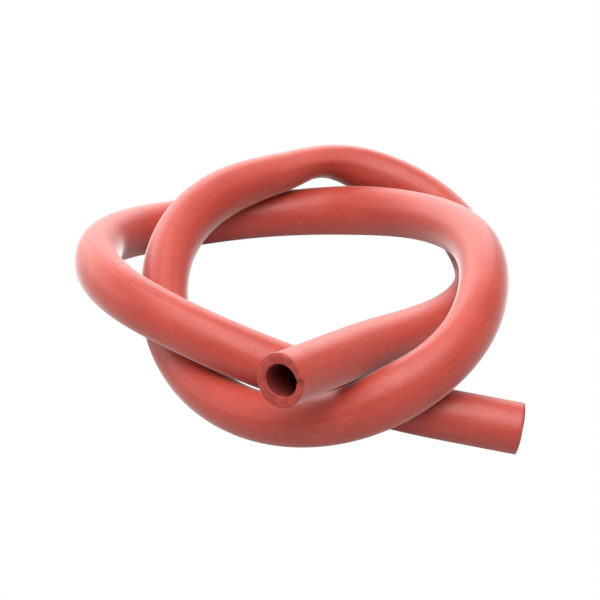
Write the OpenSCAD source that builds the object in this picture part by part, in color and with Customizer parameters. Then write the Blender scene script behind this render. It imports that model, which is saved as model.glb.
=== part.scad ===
// A length of thick-walled rubber hose, left lying in a loose overhand knot.
// Millimetres. +Z is up, the floor is z = 0, and the open front end points towards -Y.

/* [Hose] */
// Outside diameter of the hose
outer_d = 16; // [13:0.5:20]
// Diameter of the bore
bore_d = 10; // [6:0.5:12]

/* [Cut ends] */
// Straight length of the front end, back from its cut face
front_straight = 24; // [12:1:30]
// Straight length of the rear end, back from its cut face
rear_straight = 20; // [12:1:40]

/* [Smoothness] */
// Rings swept between two neighbouring points of the route
rings_per_span = 2; // [1:1:2]
// Sides of each swept ring
ring_sides = 12; // [8:1:12]

/* [Hidden] */

round_fn = 96;
cut_through = 1;
hose_color = "indianred";

// The route of the hose from its front end to its rear end. Each point is [x, y, level]:
// x and y are millimetres for a hose of route_d, and a level is a height above the floor in
// hose diameters, so 0 lies on the floor and 1 lies on top of one strand. The points guide a
// cubic B-spline, which starts at the first point and stops at the last one.
route_d = 16;
route = [
    // Front end, dropping over the strand that it rests on, to the floor at the right
    [10, -63, 1.8], [25, -42, 1.3], [41, -24, 0.8], [55, -3, 0.35], [64.5, 21.5, 0.05],
    // Back turn, which climbs over the strand in front of it
    [63, 47, 0], [51, 70, 0.3], [28, 81, 0.7], [5, 77, 1.05], [-20, 60.5, 1.07],
    // Left side, going down to the floor at the front
    [-36, 42, 0.95], [-43, 17, 0.75], [-42, -9, 0.4], [-33, -32.5, 0.05], [-15, -52, 0],
    // Front turn, climbing over the rear end and round the right side
    [9, -64.5, 0.4], [33, -64, 1.05], [53, -46.5, 1.5], [61, -21, 1.65], [62, 7, 1.5],
    // Second back turn, which runs on the floor under the first
    [55, 32, 1.1], [41, 53, 0.6], [20, 66, 0.15], [-5, 69, 0], [-31, 64.5, 0],
    // Left bulge, climbing over the left side
    [-53, 50.5, 0.3], [-65, 28.5, 0.85], [-65, 2, 1.25], [-52, -20, 1.4], [-30, -34, 1.2],
    // Under the front end and the front turn, sinking to the floor at the rear end
    [-5, -42, 0.75], [18, -46.5, 0.35], [36, -51, 0.2], [50, -54, 0.13]
];

last = len(route) - 1;
spread = outer_d / route_d;
laid = [for (p = route) [p.x * spread, p.y * spread, (p.z + 0.5) * outer_d]];

// One guide past each end makes the spline start and stop at the route's own end points,
// in line with the straight ends.
guides = concat([2 * laid[0] - laid[1]], laid, [2 * laid[last] - laid[last - 1]]);

path = concat(
    [for (i = [0 : last - 1], k = [0 : rings_per_span - 1]) spline_point(i, k / rings_per_span)],
    [laid[last]]
);
rings = len(path);

heading = [
    for (k = [0 : rings - 1])
        k == 0 ? unit(laid[1] - laid[0])
        : k == rings - 1 ? unit(laid[last] - laid[last - 1])
        : unit(path[k + 1] - path[k - 1])
];

// Each ring's first spoke is the last ring's, carried along without twist.
spoke = [
    for (k = 0, s = across([0, 0, 1], heading[0]); k < rings;
         k = k + 1, s = k < rings ? across(s, heading[k]) : s) s
];

function unit(v) = v / norm(v);

// The part of v that is square to the direction d
function across(v, d) = unit(v - (v * d) * d);

// A point on the cubic B-spline, a share u of the way along span i
function spline_point(i, u) =
    let (w = 1 - u)
    (w * w * w * guides[i]
        + (3 * u * u * u - 6 * u * u + 4) * guides[i + 1]
        + (3 * w * w * w - 6 * w * w + 4) * guides[i + 2]
        + u * u * u * guides[i + 3]) / 6;

// The points of one ring of radius r about the path
function ring(k, r) =
    let (side = cross(heading[k], spoke[k]))
    [for (j = [0 : ring_sides - 1])
        let (a = 360 * j / ring_sides)
        path[k] + r * (cos(a) * spoke[k] + sin(a) * side)];

// Two triangles over the corners a, b, c, d, and the same two facing the other way
function quad(a, b, c, d) = [[a, b, c], [a, c, d]];
function quad_back(a, b, c, d) = [[a, c, b], [a, d, c]];

function flat_list(lists) = [for (part = lists) for (item = part) item];

// A hollow tube along the path, with the wall's outer skin, its inner skin and two cut faces
module swept_hose() {
    skin = rings * ring_sides;
    outer = flat_list([for (k = [0 : rings - 1]) ring(k, outer_d / 2)]);
    inner = flat_list([for (k = [0 : rings - 1]) ring(k, bore_d / 2)]);
    walls = [
        for (k = [0 : rings - 2], j = [0 : ring_sides - 1])
            let (n = (j + 1) % ring_sides, a = k * ring_sides, b = a + ring_sides)
            concat(
                quad(a + j, b + j, b + n, a + n),
                quad_back(skin + a + j, skin + b + j, skin + b + n, skin + a + n)
            )
    ];
    cuts = [
        for (j = [0 : ring_sides - 1])
            let (n = (j + 1) % ring_sides, e = skin - ring_sides)
            concat(
                quad(j, n, skin + n, skin + j),
                quad_back(e + j, e + n, skin + e + n, skin + e + j)
            )
    ];
    polyhedron(points = concat(outer, inner), faces = flat_list(concat(walls, cuts)));
}

// A straight, cut length of hose that starts at a point and runs in a direction
module straight_hose(start, direction, length) {
    translate(start)
        rotate([0, acos(direction.z), atan2(direction.y, direction.x)])
            difference() {
                cylinder(h = length, d = outer_d, $fn = round_fn);
                translate([0, 0, -cut_through])
                    cylinder(h = length + 2 * cut_through, d = bore_d, $fn = round_fn);
            }
}

module front_end() {
    color(hose_color)
        straight_hose(laid[0], -heading[0], front_straight);
}

module hose_run() {
    color(hose_color)
        swept_hose();
}

module rear_end() {
    color(hose_color)
        straight_hose(laid[last], heading[rings - 1], rear_straight);
}

front_end();
hose_run();
rear_end();
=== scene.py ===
"""A loose length of thick-walled red rubber hose, lying in an open knot."""

import math

import bpy
import numpy as np
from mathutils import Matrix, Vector


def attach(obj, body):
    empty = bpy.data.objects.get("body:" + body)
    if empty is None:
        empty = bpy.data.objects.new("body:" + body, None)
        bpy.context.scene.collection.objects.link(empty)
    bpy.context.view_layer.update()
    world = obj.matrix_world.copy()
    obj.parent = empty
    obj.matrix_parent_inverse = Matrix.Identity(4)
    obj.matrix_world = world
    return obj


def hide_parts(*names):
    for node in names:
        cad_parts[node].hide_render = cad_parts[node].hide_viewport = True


# Sizes of the hose, in metres
OUTER_D = 0.016
BORE_D = 0.010
FRONT_STRAIGHT = 0.024
REAR_STRAIGHT = 0.020

# The lay of the hose, from its front end to its rear end. Each guide point is (x, y, level),
# where a level is a height above the table in hose diameters.
ROUTE = [
    (0.010, -0.063, 1.8), (0.025, -0.042, 1.3), (0.041, -0.024, 0.8), (0.055, -0.003, 0.35),
    (0.0645, 0.0215, 0.05), (0.063, 0.047, 0), (0.051, 0.070, 0.3), (0.028, 0.081, 0.7),
    (0.005, 0.077, 1.05), (-0.020, 0.0605, 1.07), (-0.036, 0.042, 0.95), (-0.043, 0.017, 0.75),
    (-0.042, -0.009, 0.4), (-0.033, -0.0325, 0.05), (-0.015, -0.052, 0), (0.009, -0.0645, 0.4),
    (0.033, -0.064, 1.05), (0.053, -0.0465, 1.5), (0.061, -0.021, 1.65), (0.062, 0.007, 1.5),
    (0.055, 0.032, 1.1), (0.041, 0.053, 0.6), (0.020, 0.066, 0.15), (-0.005, 0.069, 0),
    (-0.031, 0.0645, 0), (-0.053, 0.0505, 0.3), (-0.065, 0.0285, 0.85), (-0.065, 0.002, 1.25),
    (-0.052, -0.020, 1.4), (-0.030, -0.034, 1.2), (-0.005, -0.042, 0.75), (0.018, -0.0465, 0.35),
    (0.036, -0.051, 0.2), (0.050, -0.054, 0.13),
]

# The camera looks down on the knot from the front
CAMERA_AIM = Vector((0.0025, -0.0034, 0.0189))
CAMERA_DISTANCE = 0.6175
CAMERA_ELEVATION = math.radians(34)
CAMERA_LENS = 114

# How the line is measured: points to each span of the route, and the step between measured points
SPAN_STEPS = 40
LINE_STEP = 0.0005

# How the hose is meshed: rows of points along it, closer together where it is creased
SIDES = 64
OUTER_STEP = 0.0013
CREASED_STEP = 0.00035
BORE_STEP = 0.0026
FACE_ROWS = 12
CREASED = [(0.211, 0.230), (0.524, 0.538), (0.700, 0.732)]
OUTSIDE, CUT, BORE = 0, 1, 2

# How a bend changes the section: flattening per square of (diameter / bend radius)
FLATTENING = 0.4
BEND_BLUR = 0.006

# The soft unevenness of the extruded wall. Each wave is (waves along, lobes round, shift).
WAVE_HEIGHT = 0.00006
WAVES = [(61, 2, 1.3), (97, -1, 0.4), (173, 3, 2.1), (23, 1, 0)]

# Places where the wall is pressed in, or swells where the depth is negative. Each is
# (place, reach along the hose, direction that the wall faces, sharpness, depth).
ALL_ROUND = None
PRESSED = [
    (0.2215, 0.0105, (0, -0.58, -0.81), 1.0, 0.0035),
    (0.2360, 0.0160, (0, 0.56, 0.83), 1.0, 0.0017),
    (0.2820, 0.0260, ALL_ROUND, 0, -0.0003),
    (0.2800, 0.0260, (0, 0.56, 0.83), 1.0, -0.0004),
    (0.4340, 0.0140, (-0.50, 0.48, 0.72), 1.0, -0.0011),
    (0.5900, 0.0200, (0, 0.56, 0.83), 1.0, -0.0009),
    (0.6600, 0.0260, (0, -0.83, -0.56), 1.0, -0.0006),
    (0.6980, 0.0080, (0.93, -0.20, -0.30), 1.5, 0.0007),
    (0.7900, 0.0200, (0, -0.56, -0.83), 1.0, -0.0004),
]

# Fine creases across the hose, where it was bent hardest. Each is (place, width, slant along the
# hose, direction that the wall faces, sharpness, depth).
CREASES = [
    (0.2155, 0.0010, 0, (0, -0.75, -0.66), 4, 0.00010),
    (0.2186, 0.0009, 0, (0, -0.70, -0.71), 3, 0.00015),
    (0.2218, 0.0010, 0, (0, -0.66, -0.75), 3, 0.00014),
    (0.2260, 0.0010, 0, (0, -0.70, -0.71), 5, 0.00009),
    (0.5280, 0.0009, 0, (-0.55, -0.45, -0.70), 7, 0.00022),
    (0.5306, 0.0008, 0, (-0.55, -0.35, -0.75), 5, 0.00030),
    (0.5340, 0.0010, 0, (-0.60, -0.35, -0.70), 8, 0.00016),
    (0.7085, 0.0008, -0.018, (0.47, 0.21, 0.86), 60, 0.00022),
    (0.7118, 0.0008, -0.028, (0.63, 0.22, 0.74), 40, 0.00026),
    (0.7250, 0.0014, -0.030, (0.68, 0.35, 0.64), 20, 0.00022),
]

# A crease wanders along the hose as it goes round, and the shade painted in it is darkest from this depth
CREASE_WANDER = 0.0007
WANDER_SHIFT = 900
CREASE_SHADE_FULL_DEPTH = 0.0004

# The cut faces: their rounded edge, the knife's marks, and how near a face still counts as on it
EDGE_ROUND = 0.0004
EDGE_TURNS = np.radians([30, 60, 90])
KNIFE_HEIGHT = 0.00012
KNIFE_RINGS = 420
FACE_REACH = 0.001

# The lip bent over the front face's edge, and the nick opposite
LIP_WIDTH = 0.0009
LIP_DEPTH = 0.00035
LIP_SIDE = (-0.83, 0.3, 0.3)
LIP_SPREAD = 0.35
NICK_SIDE = (0.825, -0.48, 0.29)
NICK_WIDTH = 0.008
NICK_DEPTH = 0.0004

# The rear face is bowed across one direction
REAR_BOW = 0.0008
REAR_BOW_SIDE = (0, -0.83, 0.56)

# The bore's mouth at the front end is wider than it is high, and off centre
MOUTH_REACH = 0.006
MOUTH_WIDER = 0.055
MOUTH_LOWER = 0.06
MOUTH_SHIFT = (0.0004, -0.0001, 0.0002)

# The studio: its surroundings' brightness, and panels as (name, place, size, watts)
SURROUNDINGS = 0.34
PANELS = [
    ("overhead", (-0.05, 0.05, 1.0), (0.8, 0.8), 9.5),
    ("behind", (-0.25, 0.93, 0.33), (1.8, 0.6), 13),
    ("left", (-0.9, 0.2, 0.30), (1.0, 0.5), 3.5),
    ("front", (0.08, -0.44, 0.87), (0.7, 0.5), 7),
]
PANEL_AIM = Vector((0, 0, 0.02))
SHEET_SIZE = 6
BACKDROP_DROP = 0.0002


def unit(rows):
    """Each row of an array, at length 1."""
    return rows / np.linalg.norm(rows, axis=-1, keepdims=True)


def guide_points():
    """The route's points in metres, with one more past each end, in line with the straight ends."""
    laid = np.array([(x, y, (level + 0.5) * OUTER_D) for x, y, level in ROUTE])
    return np.vstack([2 * laid[0] - laid[1], laid, 2 * laid[-1] - laid[-2]])


def spline(guides, steps):
    """The cubic B-spline that the guides shape, in equal steps over each span."""
    u = np.linspace(0, 1, steps, endpoint=False)[:, None]
    w = 1 - u
    spans = [
        (w**3 * a + (3 * u**3 - 6 * u**2 + 4) * b + (3 * w**3 - 6 * w**2 + 4) * c + u**3 * d) / 6
        for a, b, c, d in zip(guides, guides[1:], guides[2:], guides[3:])
    ]
    return np.vstack(spans)


class Line:
    """The hose's centreline from cut face to cut face, with a frame that doesn't twist."""

    def __init__(self):
        guides = guide_points()
        front, rear = guides[1], guides[-2]
        out_front = unit(guides[1] - guides[2])
        out_rear = unit(guides[-2] - guides[-3])
        rough = np.vstack([
            front + out_front * FRONT_STRAIGHT,
            spline(guides, SPAN_STEPS),
            rear,
            rear + out_rear * REAR_STRAIGHT,
        ])
        walked = np.concatenate([[0], np.cumsum(np.linalg.norm(np.diff(rough, axis=0), axis=1))])
        self.length = float(walked[-1])
        self.s = np.linspace(0, self.length, int(self.length / LINE_STEP) + 1)
        self.points = self.along(rough, walked, self.s)
        self.heading = unit(np.gradient(self.points, self.s, axis=0))
        self.spoke = self.carried_spokes()
        self.bend = self.blurred(np.gradient(self.heading, self.s, axis=0))

    @staticmethod
    def along(rows, places, s):
        """Rows given at some places, read off at others."""
        return np.stack([np.interp(s, places, column) for column in rows.T], axis=-1)

    def carried_spokes(self):
        """A sideways direction at each point, carried along from the first without twist."""
        spoke = np.array([0.0, 0.0, 1.0])
        spokes = []
        for heading in self.heading:
            spoke = unit(spoke - spoke.dot(heading) * heading)
            spokes.append(spoke)
        return np.array(spokes)

    def blurred(self, rows):
        """Rows averaged over a short stretch of hose."""
        reach = int(3 * BEND_BLUR / LINE_STEP)
        weight = np.exp(-0.5 * (np.arange(-reach, reach + 1) * LINE_STEP / BEND_BLUR) ** 2)
        weight /= weight.sum()
        padded = np.pad(rows, ((reach, reach), (0, 0)), mode="edge")
        return np.stack([np.convolve(column, weight, mode="valid") for column in padded.T], axis=-1)

    def at(self, s):
        """Point, heading, spoke and bend at each place in s."""
        point = self.along(self.points, self.s, s)
        heading = unit(self.along(self.heading, self.s, s))
        spoke = self.along(self.spoke, self.s, s)
        spoke = unit(spoke - (spoke * heading).sum(-1, keepdims=True) * heading)
        return point, heading, spoke, self.along(self.bend, self.s, s)


def places_along(start, end):
    """Places for rows of points, closer together where the hose is creased."""
    places = [start]
    while places[-1] < end:
        creased = any(low < places[-1] < high for low, high in CREASED)
        places.append(places[-1] + (CREASED_STEP if creased else OUTER_STEP))
    return np.interp(places, (places[0], places[-1]), (start, end))


def wall_profile(length):
    """The wall's outline along the hose as (place, radius, kind) rows: out along the outside, over
    the rear cut, back along the bore and over the front cut."""
    outer, bore, edge = OUTER_D / 2, BORE_D / 2, EDGE_ROUND
    turns = EDGE_TURNS
    across = np.linspace(outer - edge, bore + edge, FACE_ROWS)
    bore_rows = int(length / BORE_STEP)
    rows = [(s, outer, OUTSIDE) for s in places_along(edge, length - edge)]
    rows += [(length - edge + edge * math.sin(a), outer - edge + edge * math.cos(a), CUT) for a in turns]
    rows += [(length, r, CUT) for r in across[1:]]
    rows += [(length - edge + edge * math.cos(a), bore + edge - edge * math.sin(a), CUT) for a in turns]
    rows += [(s, bore, BORE) for s in np.linspace(length - edge, edge, bore_rows)[1:]]
    rows += [(edge - edge * math.sin(a), bore + edge - edge * math.cos(a), CUT) for a in turns]
    rows += [(0, r, CUT) for r in across[::-1][1:]]
    rows += [(edge - edge * math.cos(a), outer - edge + edge * math.sin(a), CUT) for a in turns[:-1]]
    return np.array(rows)


def hump(distance, reach):
    """1 at no distance, falling smoothly to nothing."""
    return np.exp(-((distance / reach) ** 2))


def waviness(s, angle):
    """A soft, irregular swell of extruded rubber, from -1 to 1."""
    return sum(np.sin(along * s + lobes * angle + shift) for along, lobes, shift in WAVES) / len(WAVES)


class Wall:
    """The wall's points, one row for each profile row and one column for each side. Its methods
    give how far each point is moved by the bends, the dents and the knife."""

    def __init__(self, line, profile):
        self.place, self.radius, self.kind = profile.T
        self.point, self.heading, spoke, self.bend = line.at(self.place)
        side = np.cross(self.heading, spoke)
        self.angle = np.arange(SIDES) * 2 * math.pi / SIDES
        self.outwards = (
            np.cos(self.angle)[None, :, None] * spoke[:, None]
            + np.sin(self.angle)[None, :, None] * side[:, None]
        )
        self.on_outside = (self.kind == OUTSIDE)[:, None]
        self.is_cut = (self.kind == CUT)[:, None]
        self.at_front = (self.place < FACE_REACH)[:, None]
        self.at_rear = (self.place > self.place.max() - FACE_REACH)[:, None]

    def share(self, direction):
        """How much of each point's outward direction lies along a direction, from -1 to 1."""
        return (self.outwards * direction).sum(-1)

    def facing(self, direction):
        """How far each point faces a direction, squared to the hose, from 0 to 1."""
        flat = direction - (self.heading * direction).sum(-1, keepdims=True) * self.heading
        return np.clip(self.share(unit(flat)[:, None]), 0, 1)

    def section(self):
        """Outward directions after bending, which squeezes the section towards the inside of the
        bend and widens it across."""
        curving = np.linalg.norm(self.bend, axis=-1, keepdims=True)
        inside = self.bend / np.maximum(curving, 1e-6)
        across = np.cross(self.heading, inside)
        squeeze = FLATTENING * (curving * OUTER_D) ** 2
        return (
            self.outwards
            - (squeeze * self.share(inside[:, None]))[..., None] * inside[:, None]
            + (squeeze * self.share(across[:, None]))[..., None] * across[:, None]
        )

    def pressed(self):
        """How deep the dents are, less how high the swells are."""
        depth = 0
        for at, reach, direction, sharpness, amount in PRESSED:
            near = amount * hump(self.place - at, reach)[:, None]
            if direction is not ALL_ROUND:
                near = near * self.facing(direction) ** sharpness
            depth = depth + near
        return depth

    def creased(self):
        """How deep the fine creases are."""
        depth = 0
        for at, width, slant, direction, sharpness, amount in CREASES:
            beside = self.share(np.cross(self.heading, direction)[:, None])
            wander = CREASE_WANDER * np.sin(3 * self.angle + WANDER_SHIFT * at)[None, :]
            near = hump(self.place[:, None] - (at + slant * beside + wander), width)
            depth = depth + amount * near * self.facing(direction) ** sharpness
        return depth * self.on_outside

    def mouth(self):
        """How much each point belongs to the bore's mouth at the front end, from 0 to 1."""
        to_bore = np.clip((OUTER_D / 2 - self.radius) / (OUTER_D / 2 - BORE_D / 2), 0, 1)
        return (to_bore * hump(self.place, MOUTH_REACH))[:, None]

    def mouth_stretch(self):
        """How much wider than high the mouth is, as a share of the radius."""
        level_way = unit(np.cross(self.heading, (0, 0, 1)))
        sloping_way = np.cross(self.heading, level_way)
        wide = self.share(level_way[:, None]) ** 2
        high = self.share(sloping_way[:, None]) ** 2
        return MOUTH_WIDER * wide - MOUTH_LOWER * high

    def nick(self):
        """Where the front face is nicked, from 0 to 1."""
        return self.at_front * self.is_cut * hump(1 - self.facing(NICK_SIDE), NICK_WIDTH)

    def knife(self):
        """How far the knife left the cut faces uneven, along the hose."""
        turning = 2 * self.angle[None, :] + KNIFE_RINGS * self.radius[:, None]
        rings = KNIFE_HEIGHT * self.is_cut * np.sin(turning)
        near_rim = np.clip((self.radius - (OUTER_D / 2 - LIP_WIDTH)) / LIP_WIDTH, 0, 1)[:, None]
        bent = np.clip(self.share(np.array(LIP_SIDE)) + LIP_SPREAD, 0, 1)
        lip = LIP_DEPTH * self.at_front * self.is_cut * near_rim * bent
        bow = REAR_BOW * self.at_rear * self.is_cut * self.share(np.array(REAR_BOW_SIDE)) ** 2
        return rings + lip + NICK_DEPTH * self.nick() + bow


def hose_surface(line, profile):
    """The hose's points, one row for each profile row and one column for each side, and how deep
    each point lies in a crease or the front face's nick, from 0 to 1, which sets the shade painted there."""
    wall = Wall(line, profile)
    shaded_crease = wall.creased()
    wavy = WAVE_HEIGHT * waviness(wall.place[:, None], wall.angle[None, :])
    reach = wall.radius[:, None] - wall.pressed() - shaded_crease + wavy
    reach = reach * (1 + wall.mouth() * wall.mouth_stretch())
    surface = wall.point[:, None] + wall.section() * reach[..., None]
    surface = surface + wall.mouth()[..., None] * np.array(MOUTH_SHIFT)
    surface = surface + wall.knife()[..., None] * wall.heading[:, None]

    # Nothing sinks into the floor
    surface[..., 2] = np.maximum(surface[..., 2], 0)
    # The crease depth and the nick become a mask of painted shade
    return surface, np.clip(shaded_crease / CREASE_SHADE_FULL_DEPTH + wall.nick(), 0, 1)


def build_hose(line):
    """One closed mesh: outside, both cut faces and the bore."""
    profile = wall_profile(line.length)
    surface, shaded_crease = hose_surface(line, profile)
    rows = len(profile)
    row, column = np.meshgrid(np.arange(rows), np.arange(SIDES), indexing="ij")
    next_row, next_column = (row + 1) % rows, (column + 1) % SIDES
    corners = np.stack([
        row * SIDES + column,
        row * SIDES + next_column,
        next_row * SIDES + next_column,
        next_row * SIDES + column,
    ], axis=-1).reshape(-1, 4)

    mesh = bpy.data.meshes.new("hose")
    mesh.from_pydata(surface.reshape(-1, 3).tolist(), [], corners.tolist())
    mesh.validate()

    # Where each point is round the hose and along it, in metres, for the drawn lines in its skin
    angle = column * 2 * math.pi / SIDES
    radius = profile[:, 1][:, None]
    lay = np.stack([radius * np.cos(angle), radius * np.sin(angle), profile[:, :1] + 0 * angle], -1)
    lay = lay.reshape(-1).astype(np.float32)
    mesh.attributes.new("lay", "FLOAT_VECTOR", "POINT").data.foreach_set("vector", lay)
    kinds = profile[:, 2]
    # The crease mask carries painted shade for the creases and the front face's nick
    masks = {"bore": (kinds == BORE)[:, None] + 0 * angle, "shaded_crease": shaded_crease}
    for name, mask in masks.items():
        values = mask.reshape(-1).astype(np.float32)
        mesh.attributes.new(name, "FLOAT", "POINT").data.foreach_set("value", values)
    mesh.polygons.foreach_set("use_smooth", [True] * len(mesh.polygons))
    mesh.materials.append(red_rubber())
    mesh.materials.append(cut_rubber())
    was_cut = (kinds != OUTSIDE) & (np.roll(kinds, -1) != OUTSIDE)
    mesh.polygons.foreach_set("material_index", np.repeat(was_cut, SIDES).astype(np.int32))

    hose = bpy.data.objects.new("hose", mesh)
    bpy.context.scene.collection.objects.link(hose)
    return hose


class Value:
    """A number in a shader, which Python's operators add Math nodes to."""

    def __init__(self, shader, socket):
        self.shader, self.socket = shader, socket

    def math(self, operation, first, second):
        return self.shader.add("ShaderNodeMath", {"operation": operation}, {0: first, 1: second}).value()

    def __add__(self, other):
        return self.math("ADD", self, other)

    def __mul__(self, other):
        return self.math("MULTIPLY", self, other)

    def __rsub__(self, other):
        return self.math("SUBTRACT", other, self)

    __radd__ = __add__
    __rmul__ = __mul__

    def over(self, low, high):
        """How far the value is from low to high, kept from 0 to 1."""
        names = {"From Min": low, "From Max": high, "Value": self}
        return self.shader.add("ShaderNodeMapRange", {"clamp": True}, names).value()


class Node:
    """A node that was just added, and its outputs."""

    def __init__(self, shader, node):
        self.shader, self.node = shader, node

    def value(self, name=0):
        return Value(self.shader, self.node.outputs[name])


class Shader:
    """A new material's node tree."""

    def __init__(self, name):
        self.material = bpy.data.materials.new(name)
        self.material.use_nodes = True
        self.tree = self.material.node_tree
        self.surface = self.tree.nodes["Principled BSDF"]

    def add(self, kind, settings=None, inputs=None):
        """A node of a kind, with its settings and the values or links of its sockets."""
        node = self.tree.nodes.new(kind)
        for name, value in (settings or {}).items():
            setattr(node, name, value)
        for name, value in (inputs or {}).items():
            self.feed(node.inputs[name], value)
        return Node(self, node)

    def feed(self, socket, value):
        if isinstance(value, Value):
            self.tree.links.new(value.socket, socket)
        else:
            socket.default_value = value

    def set(self, **values):
        """Sets the surface's sockets, whose names have underscores for spaces."""
        for name, value in values.items():
            self.feed(self.surface.inputs[name.replace("_", " ")], value)

    def noise(self, where, scale, detail=3.0, roughness=0.5):
        names = {"Vector": where, "Scale": scale, "Detail": detail, "Roughness": roughness}
        return self.add("ShaderNodeTexNoise", {}, names).value("Fac")

    def blend(self, share, first, second):
        """A mix of two colours."""
        node = self.add("ShaderNodeMix", {"data_type": "RGBA"}).node
        for socket, value in zip((node.inputs[0], node.inputs[6], node.inputs[7]), (share, first, second)):
            self.feed(socket, value)
        return Value(self, node.outputs[2])

    def add_relief(self, relief):
        """A fine bump over the surface, which lets a little light into the rubber."""
        bump = self.add("ShaderNodeBump", {}, {"Strength": 0.5, "Distance": 0.00012, "Height": relief})
        self.set(Normal=bump.value(), IOR=1.45)
        self.set(Subsurface_Weight=0.05, Subsurface_Radius=(1, 0.25, 0.15), Subsurface_Scale=0.0015)


def red_rubber():
    """Matt red rubber with bloom, dust, scuffs and fine lines from the die it was pushed through, with
    painted shade in its creases.
    """
    shader = Shader("red_rubber")
    place = shader.add("ShaderNodeTexCoord").value("Object")
    lay = shader.add("ShaderNodeAttribute", {"attribute_name": "lay"}).value("Vector")
    shaded_crease = shader.add("ShaderNodeAttribute", {"attribute_name": "shaded_crease"}).value("Fac")

    clouds = shader.noise(place, 55, 4)
    mottle = shader.noise(place, 420, 3)
    grain = shader.noise(place, 1500, 2)
    drawn = shader.add("ShaderNodeMapping", {}, {"Vector": lay, "Scale": (900, 900, 16)})
    die_lines = shader.noise(drawn.value(), 1, 3)
    rubbed = shader.add("ShaderNodeMapping", {}, {"Vector": lay, "Scale": (700, 700, 130)})
    scuffs = shader.noise(rubbed.value(), 1, 4, 0.6).over(0.62, 0.76) * clouds.over(0.50, 0.62)
    bloom = shader.noise(place, 24, 5, 0.6).over(0.5, 0.8)

    cells = shader.add("ShaderNodeTexVoronoi", {"feature": "F1"}, {"Vector": place, "Scale": 150})
    chosen = shader.add("ShaderNodeSeparateColor", {}, {"Color": cells.value("Color")}).value("Red")
    dust = (1 - cells.value("Distance").over(0.030, 0.060)) * chosen.over(0.93, 0.94)

    skin = shader.blend(clouds.over(0.3, 0.7), (0.34, 0.031, 0.019, 1), (0.42, 0.045, 0.028, 1))
    skin = shader.blend(mottle.over(0.3, 0.75) * 0.50, skin, (0.28, 0.030, 0.019, 1))
    skin = shader.blend(grain.over(0.40, 0.65) * 0.28, skin, (0.50, 0.075, 0.052, 1))
    skin = shader.blend(die_lines.over(0.45, 0.70) * 0.34, skin, (0.46, 0.068, 0.046, 1))
    skin = shader.blend(bloom * 0.06 + scuffs * 0.38, skin, (0.62, 0.25, 0.20, 1))
    # Painted shade: the skin is darkened in the creases, most where they are deepest
    skin = shader.blend(shaded_crease * 0.5, skin, (0.20, 0.020, 0.014, 1))
    skin = shader.blend(dust * 0.7, skin, (0.75, 0.6, 0.55, 1))

    rough = 0.40 + mottle * 0.10 + scuffs * 0.15 + bloom * 0.06
    shader.set(Base_Color=skin, Roughness=rough)
    shader.set(Sheen_Weight=0.95, Sheen_Roughness=0.3, Sheen_Tint=(1, 0.95, 0.93, 1))
    shader.add_relief(grain * 0.30 + die_lines * 0.42 + mottle * 0.7 + scuffs * 0.4)
    return shader.material


def cut_rubber():
    """The same rubber where a knife cut it, and in the bore, with no bloom on it, and with painted shade
    darkening the bore and the front face's nick.
    """
    shader = Shader("cut_rubber")
    place = shader.add("ShaderNodeTexCoord").value("Object")
    bore = shader.add("ShaderNodeAttribute", {"attribute_name": "bore"}).value("Fac")
    nick = shader.add("ShaderNodeAttribute", {"attribute_name": "shaded_crease"}).value("Fac")
    mottle = shader.noise(place, 500, 4)
    knife_marks = shader.add("ShaderNodeMapping", {}, {"Vector": place, "Scale": (300, 300, 2600)})
    drag = shader.noise(knife_marks.value(), 1, 3)

    sliced = shader.blend(mottle.over(0.35, 0.65), (0.24, 0.022, 0.014, 1), (0.36, 0.040, 0.026, 1))
    sliced = shader.blend(drag.over(0.50, 0.70) * 0.35, sliced, (0.42, 0.066, 0.048, 1))
    # Painted shade: the cut face is darkened in its nick
    sliced = shader.blend(nick * 0.65, sliced, (0.09, 0.010, 0.008, 1))
    # Painted shade: the bore's wall is darker than the cut faces
    painted_bore_shade = shader.blend(mottle.over(0.35, 0.65), (0.12, 0.011, 0.008, 1), (0.18, 0.018, 0.012, 1))
    skin = shader.blend(bore, sliced, painted_bore_shade)

    shader.set(Base_Color=skin, Roughness=0.62 + mottle * 0.1)
    shader.add_relief(mottle * 0.8 + drag * 0.5)
    return shader.material


def add_camera():
    """A long lens in front of the hose, looking down on it."""
    back = Vector((0, -math.cos(CAMERA_ELEVATION), math.sin(CAMERA_ELEVATION)))
    bpy.ops.object.camera_add(location=CAMERA_AIM + back * CAMERA_DISTANCE)
    camera = bpy.context.object
    camera.rotation_euler = (math.pi / 2 - CAMERA_ELEVATION, 0, 0)
    camera.data.lens = CAMERA_LENS
    camera.data.clip_start, camera.data.clip_end = 0.01, 20
    bpy.context.scene.camera = camera


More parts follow.
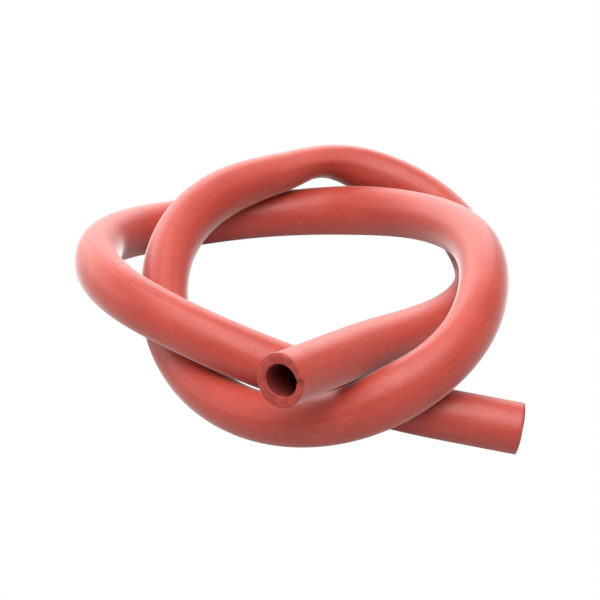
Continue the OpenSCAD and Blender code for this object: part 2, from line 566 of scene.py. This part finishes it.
def add_panel(name, place, size, energy):
    """A soft light panel that faces the hose."""
    bpy.ops.object.light_add(type="AREA", location=place)
    panel = bpy.context.object
    panel.name = name
    panel.data.shape = "RECTANGLE"
    panel.data.size, panel.data.size_y = size
    panel.data.energy = energy
    panel.rotation_euler = (PANEL_AIM - Vector(place)).to_track_quat("-Z", "Y").to_euler()


def add_sheet(name, height):
    """A wide flat sheet under the hose."""
    bpy.ops.mesh.primitive_plane_add(size=SHEET_SIZE, location=(0, 0, height))
    sheet = bpy.context.object
    sheet.name = name
    return sheet


def add_studio():
    """A matt table, a white backdrop, white surroundings and large soft panels."""
    # The table lights and shades the hose from below, and the camera doesn't see it
    table = add_sheet("table", 0)
    matt = Shader("matt_table")
    matt.set(Base_Color=(0.5, 0.5, 0.5, 1), Roughness=0.7, Specular_IOR_Level=0)
    table.data.materials.append(matt.material)
    table.visible_camera = False

    # The camera sees a white sheet without shadows, which lights nothing
    backdrop = add_sheet("backdrop", -BACKDROP_DROP)
    white = Shader("white_backdrop")
    white.set(Base_Color=(0, 0, 0, 1), Specular_IOR_Level=0)
    white.set(Emission_Color=(1, 1, 1, 1), Emission_Strength=1.0)
    backdrop.data.materials.append(white.material)
    backdrop.visible_diffuse = backdrop.visible_glossy = False
    backdrop.visible_transmission = backdrop.visible_shadow = False

    world = bpy.data.worlds.new("studio")
    bpy.context.scene.world = world
    world.use_nodes = True
    sky = world.node_tree.nodes["Background"]
    sky.inputs["Color"].default_value = (1, 1, 1, 1)
    sky.inputs["Strength"].default_value = SURROUNDINGS
    for name, place, size, energy in PANELS:
        add_panel(name, place, size, energy)
    bpy.context.scene.view_settings.view_transform = "Standard"


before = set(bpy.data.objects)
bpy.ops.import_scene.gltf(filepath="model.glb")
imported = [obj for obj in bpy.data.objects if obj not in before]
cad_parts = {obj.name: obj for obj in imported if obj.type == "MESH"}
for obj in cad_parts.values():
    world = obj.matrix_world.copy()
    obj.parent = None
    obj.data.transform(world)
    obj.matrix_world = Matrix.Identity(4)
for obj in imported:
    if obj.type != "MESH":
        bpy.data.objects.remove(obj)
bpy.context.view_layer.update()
bpy.ops.object.select_all(action="DESELECT")

add_camera()
line = Line()
hose = build_hose(line)
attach(hose, "root")
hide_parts("front_end", "hose_run", "rear_end")
add_studio()
